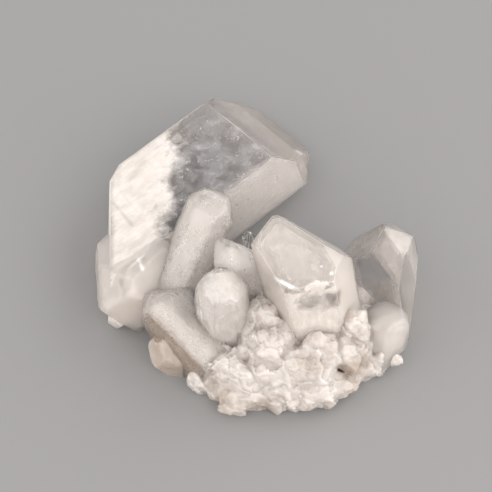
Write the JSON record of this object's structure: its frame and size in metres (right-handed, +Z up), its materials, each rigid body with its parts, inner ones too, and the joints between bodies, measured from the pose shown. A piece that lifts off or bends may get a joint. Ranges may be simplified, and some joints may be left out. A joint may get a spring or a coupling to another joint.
{
  "type": "quartz crystal cluster",
  "caption": "Broad flat clear quartz crystal intergrown with upright and frosted smaller crystals on one rough broken root.",
  "frame": {"origin": "middle of the footprint, on the plane that the cluster rests on", "axes": "+Z up from the resting plane, +Y away from the side with the granular root, +X towards the clear upright crystal"},
  "size_m": [0.0518, 0.06, 0.0241],
  "materials": {
    "quartz": "clear to milky natural quartz, glossy flat faces, frosted at the root"
  },
  "bodies": {
    "root": {"quartz_cluster": "quartz"}
  },
  "joints": []
}
